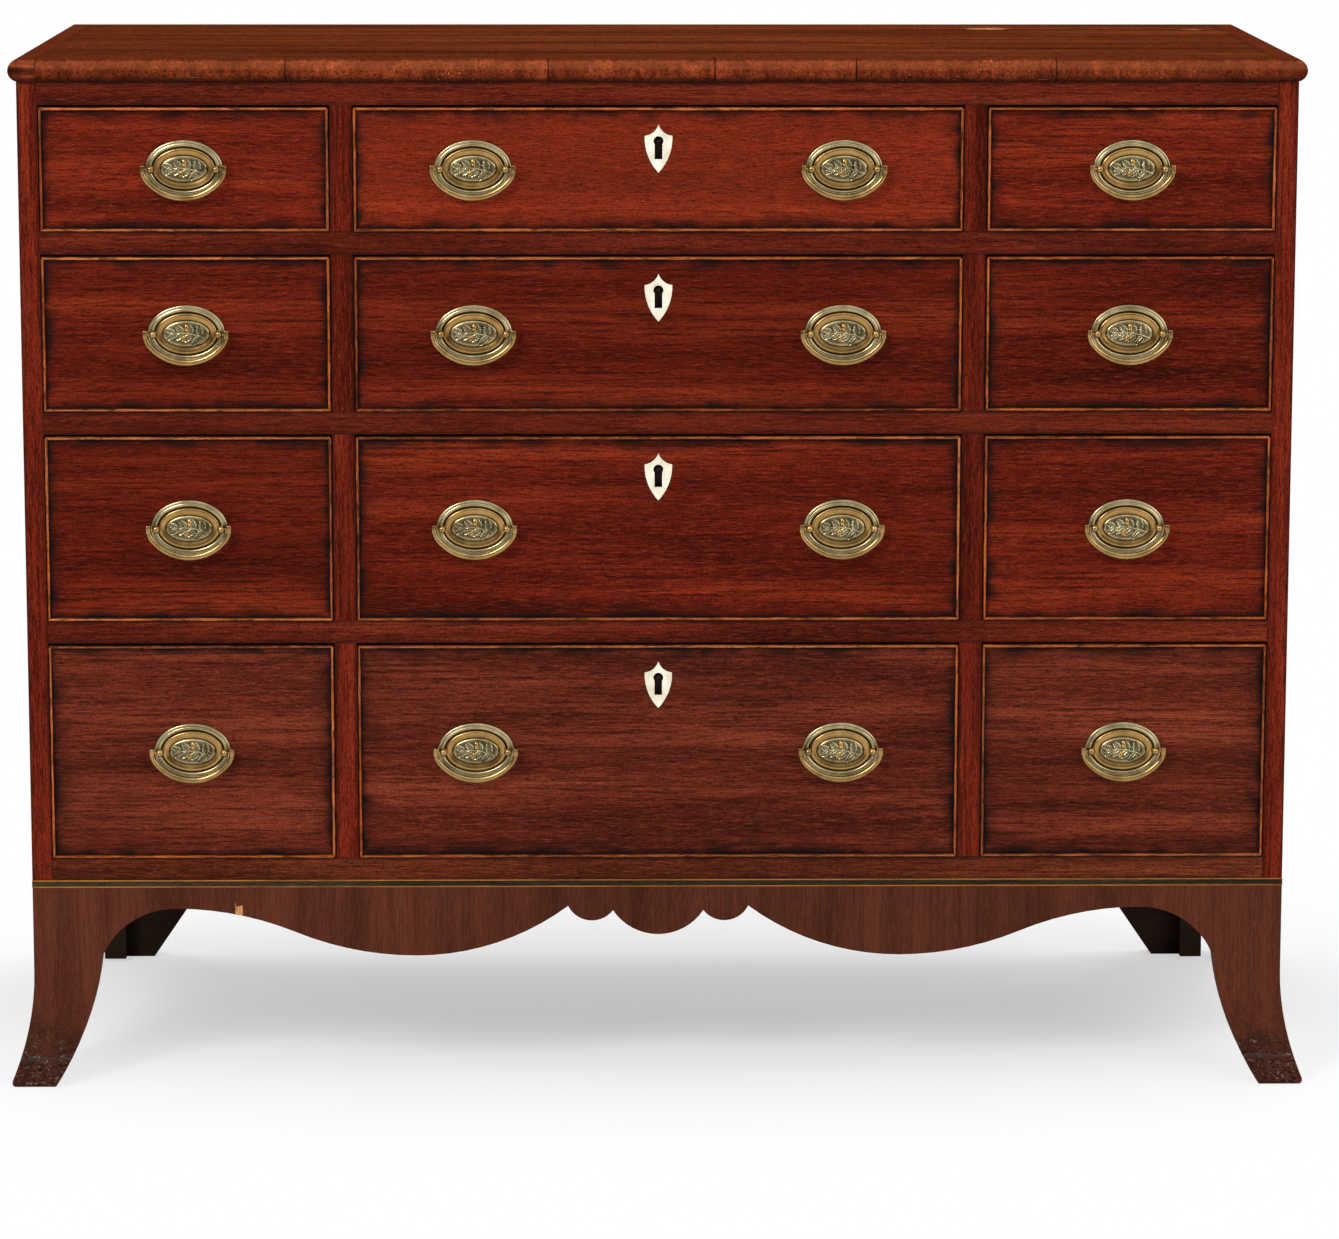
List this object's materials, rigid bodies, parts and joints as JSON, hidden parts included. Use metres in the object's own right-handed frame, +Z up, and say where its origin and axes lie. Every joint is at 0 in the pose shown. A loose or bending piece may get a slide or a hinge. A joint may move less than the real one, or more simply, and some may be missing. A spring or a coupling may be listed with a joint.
{
  "type": "chest of drawers",
  "caption": "Mahogany chest with graduated rows of sliding drawers, oval brass swing handles, keyhole shields, a moulded top, inlaid base band, shaped apron and splayed bracket feet.",
  "frame": {"origin": "on the floor, at the middle of the bounding box", "axes": "+X to the right as seen from the front, the drawer fronts face -Y, +Z up"},
  "size_m": [1.282, 0.545, 1.014],
  "materials": {
    "mahogany": "polished, worn",
    "drawer_wood": "polished mahogany front, plain oak linings",
    "secondary_wood": "unpolished oak and pine",
    "inlay": "dark band between light lines, polished",
    "brass": "aged, dark in the hollows",
    "bone": "polished bone"
  },
  "bodies": {
    "carcase": {"top_panel": "mahogany", "top_mouldings": "mahogany", "left_side": "mahogany", "right_side": "mahogany", "front_stiles": "mahogany", "drawer_rails": "mahogany", "drawer_dividers": "mahogany", "drawer_runners": "secondary_wood", "dust_boards": "secondary_wood", "guides_and_stops": "secondary_wood", "back_boards": "secondary_wood", "base_inlay": "inlay", "front_apron": "mahogany", "side_aprons": "mahogany", "rear_feet": "secondary_wood", "foot_blocks": "secondary_wood"},
    "drawer_row1_left": {"drawer_row1_left": "drawer_wood", "brasses_row1_left": "brass"},
    "bail_row1_left": {"bail_row1_left": "brass"},
    "drawer_row1_centre": {"drawer_row1_centre": "drawer_wood", "brasses_row1_centre": "brass", "escutcheon_row1": "bone"},
    "bail_row1_centre_left": {"bail_row1_centre_left": "brass"},
    "bail_row1_centre_right": {"bail_row1_centre_right": "brass"},
    "drawer_row1_right": {"drawer_row1_right": "drawer_wood", "brasses_row1_right": "brass"},
    "bail_row1_right": {"bail_row1_right": "brass"},
    "drawer_row2_left": {"drawer_row2_left": "drawer_wood", "brasses_row2_left": "brass"},
    "bail_row2_left": {"bail_row2_left": "brass"},
    "drawer_row2_centre": {"drawer_row2_centre": "drawer_wood", "brasses_row2_centre": "brass", "escutcheon_row2": "bone"},
    "bail_row2_centre_left": {"bail_row2_centre_left": "brass"},
    "bail_row2_centre_right": {"bail_row2_centre_right": "brass"},
    "drawer_row2_right": {"drawer_row2_right": "drawer_wood", "brasses_row2_right": "brass"},
    "bail_row2_right": {"bail_row2_right": "brass"},
    "drawer_row3_left": {"drawer_row3_left": "drawer_wood", "brasses_row3_left": "brass"},
    "bail_row3_left": {"bail_row3_left": "brass"},
    "drawer_row3_centre": {"drawer_row3_centre": "drawer_wood", "brasses_row3_centre": "brass", "escutcheon_row3": "bone"},
    "bail_row3_centre_left": {"bail_row3_centre_left": "brass"},
    "bail_row3_centre_right": {"bail_row3_centre_right": "brass"},
    "drawer_row3_right": {"drawer_row3_right": "drawer_wood", "brasses_row3_right": "brass"},
    "bail_row3_right": {"bail_row3_right": "brass"},
    "drawer_row4_left": {"drawer_row4_left": "drawer_wood", "brasses_row4_left": "brass"},
    "bail_row4_left": {"bail_row4_left": "brass"},
    "drawer_row4_centre": {"drawer_row4_centre": "drawer_wood", "brasses_row4_centre": "brass", "escutcheon_row4": "bone"},
    "bail_row4_centre_left": {"bail_row4_centre_left": "brass"},
    "bail_row4_centre_right": {"bail_row4_centre_right": "brass"},
    "drawer_row4_right": {"drawer_row4_right": "drawer_wood", "brasses_row4_right": "brass"},
    "bail_row4_right": {"bail_row4_right": "brass"}
  },
  "joints": [
    {"name": "row1_left_slide", "type": "slide", "parent": "carcase", "child": "drawer_row1_left", "axis": [0, -1, 0], "range_m": [0, 0.36]},
    {"name": "bail_row1_left_swing", "type": "hinge", "parent": "drawer_row1_left", "child": "bail_row1_left", "pos_m": [-0.457, -0.258, 0.9085], "axis": [-1, 0, 0], "range_deg": [-5, 170]},
    {"name": "row1_centre_slide", "type": "slide", "parent": "carcase", "child": "drawer_row1_centre", "axis": [0, -1, 0], "range_m": [0, 0.36]},
    {"name": "bail_row1_centre_left_swing", "type": "hinge", "parent": "drawer_row1_centre", "child": "bail_row1_centre_left", "pos_m": [-0.179, -0.258, 0.9085], "axis": [-1, 0, 0], "range_deg": [-5, 170]},
    {"name": "bail_row1_centre_right_swing", "type": "hinge", "parent": "drawer_row1_centre", "child": "bail_row1_centre_right", "pos_m": [0.179, -0.258, 0.9085], "axis": [-1, 0, 0], "range_deg": [-5, 170]},
    {"name": "row1_right_slide", "type": "slide", "parent": "carcase", "child": "drawer_row1_right", "axis": [0, -1, 0], "range_m": [0, 0.36]},
    {"name": "bail_row1_right_swing", "type": "hinge", "parent": "drawer_row1_right", "child": "bail_row1_right", "pos_m": [0.457, -0.258, 0.9085], "axis": [-1, 0, 0], "range_deg": [-5, 170]},
    {"name": "row2_left_slide", "type": "slide", "parent": "carcase", "child": "drawer_row2_left", "axis": [0, -1, 0], "range_m": [0, 0.36]},
    {"name": "bail_row2_left_swing", "type": "hinge", "parent": "drawer_row2_left", "child": "bail_row2_left", "pos_m": [-0.457, -0.258, 0.7485], "axis": [-1, 0, 0], "range_deg": [-5, 170]},
    {"name": "row2_centre_slide", "type": "slide", "parent": "carcase", "child": "drawer_row2_centre", "axis": [0, -1, 0], "range_m": [0, 0.36]},
    {"name": "bail_row2_centre_left_swing", "type": "hinge", "parent": "drawer_row2_centre", "child": "bail_row2_centre_left", "pos_m": [-0.179, -0.258, 0.7485], "axis": [-1, 0, 0], "range_deg": [-5, 170]},
    {"name": "bail_row2_centre_right_swing", "type": "hinge", "parent": "drawer_row2_centre", "child": "bail_row2_centre_right", "pos_m": [0.179, -0.258, 0.7485], "axis": [-1, 0, 0], "range_deg": [-5, 170]},
    {"name": "row2_right_slide", "type": "slide", "parent": "carcase", "child": "drawer_row2_right", "axis": [0, -1, 0], "range_m": [0, 0.36]},
    {"name": "bail_row2_right_swing", "type": "hinge", "parent": "drawer_row2_right", "child": "bail_row2_right", "pos_m": [0.457, -0.258, 0.7485], "axis": [-1, 0, 0], "range_deg": [-5, 170]},
    {"name": "row3_left_slide", "type": "slide", "parent": "carcase", "child": "drawer_row3_left", "axis": [0, -1, 0], "range_m": [0, 0.36]},
    {"name": "bail_row3_left_swing", "type": "hinge", "parent": "drawer_row3_left", "child": "bail_row3_left", "pos_m": [-0.457, -0.258, 0.5575], "axis": [-1, 0, 0], "range_deg": [-5, 170]},
    {"name": "row3_centre_slide", "type": "slide", "parent": "carcase", "child": "drawer_row3_centre", "axis": [0, -1, 0], "range_m": [0, 0.36]},
    {"name": "bail_row3_centre_left_swing", "type": "hinge", "parent": "drawer_row3_centre", "child": "bail_row3_centre_left", "pos_m": [-0.179, -0.258, 0.5575], "axis": [-1, 0, 0], "range_deg": [-5, 170]},
    {"name": "bail_row3_centre_right_swing", "type": "hinge", "parent": "drawer_row3_centre", "child": "bail_row3_centre_right", "pos_m": [0.179, -0.258, 0.5575], "axis": [-1, 0, 0], "range_deg": [-5, 170]},
    {"name": "row3_right_slide", "type": "slide", "parent": "carcase", "child": "drawer_row3_right", "axis": [0, -1, 0], "range_m": [0, 0.36]},
    {"name": "bail_row3_right_swing", "type": "hinge", "parent": "drawer_row3_right", "child": "bail_row3_right", "pos_m": [0.457, -0.258, 0.5575], "axis": [-1, 0, 0], "range_deg": [-5, 170]},
    {"name": "row4_left_slide", "type": "slide", "parent": "carcase", "child": "drawer_row4_left", "axis": [0, -1, 0], "range_m": [0, 0.36]},
    {"name": "bail_row4_left_swing", "type": "hinge", "parent": "drawer_row4_left", "child": "bail_row4_left", "pos_m": [-0.457, -0.258, 0.3355], "axis": [-1, 0, 0], "range_deg": [-5, 170]},
    {"name": "row4_centre_slide", "type": "slide", "parent": "carcase", "child": "drawer_row4_centre", "axis": [0, -1, 0], "range_m": [0, 0.36]},
    {"name": "bail_row4_centre_left_swing", "type": "hinge", "parent": "drawer_row4_centre", "child": "bail_row4_centre_left", "pos_m": [-0.179, -0.258, 0.3355], "axis": [-1, 0, 0], "range_deg": [-5, 170]},
    {"name": "bail_row4_centre_right_swing", "type": "hinge", "parent": "drawer_row4_centre", "child": "bail_row4_centre_right", "pos_m": [0.179, -0.258, 0.3355], "axis": [-1, 0, 0], "range_deg": [-5, 170]},
    {"name": "row4_right_slide", "type": "slide", "parent": "carcase", "child": "drawer_row4_right", "axis": [0, -1, 0], "range_m": [0, 0.36]},
    {"name": "bail_row4_right_swing", "type": "hinge", "parent": "drawer_row4_right", "child": "bail_row4_right", "pos_m": [0.457, -0.258, 0.3355], "axis": [-1, 0, 0], "range_deg": [-5, 170]}
  ]
}
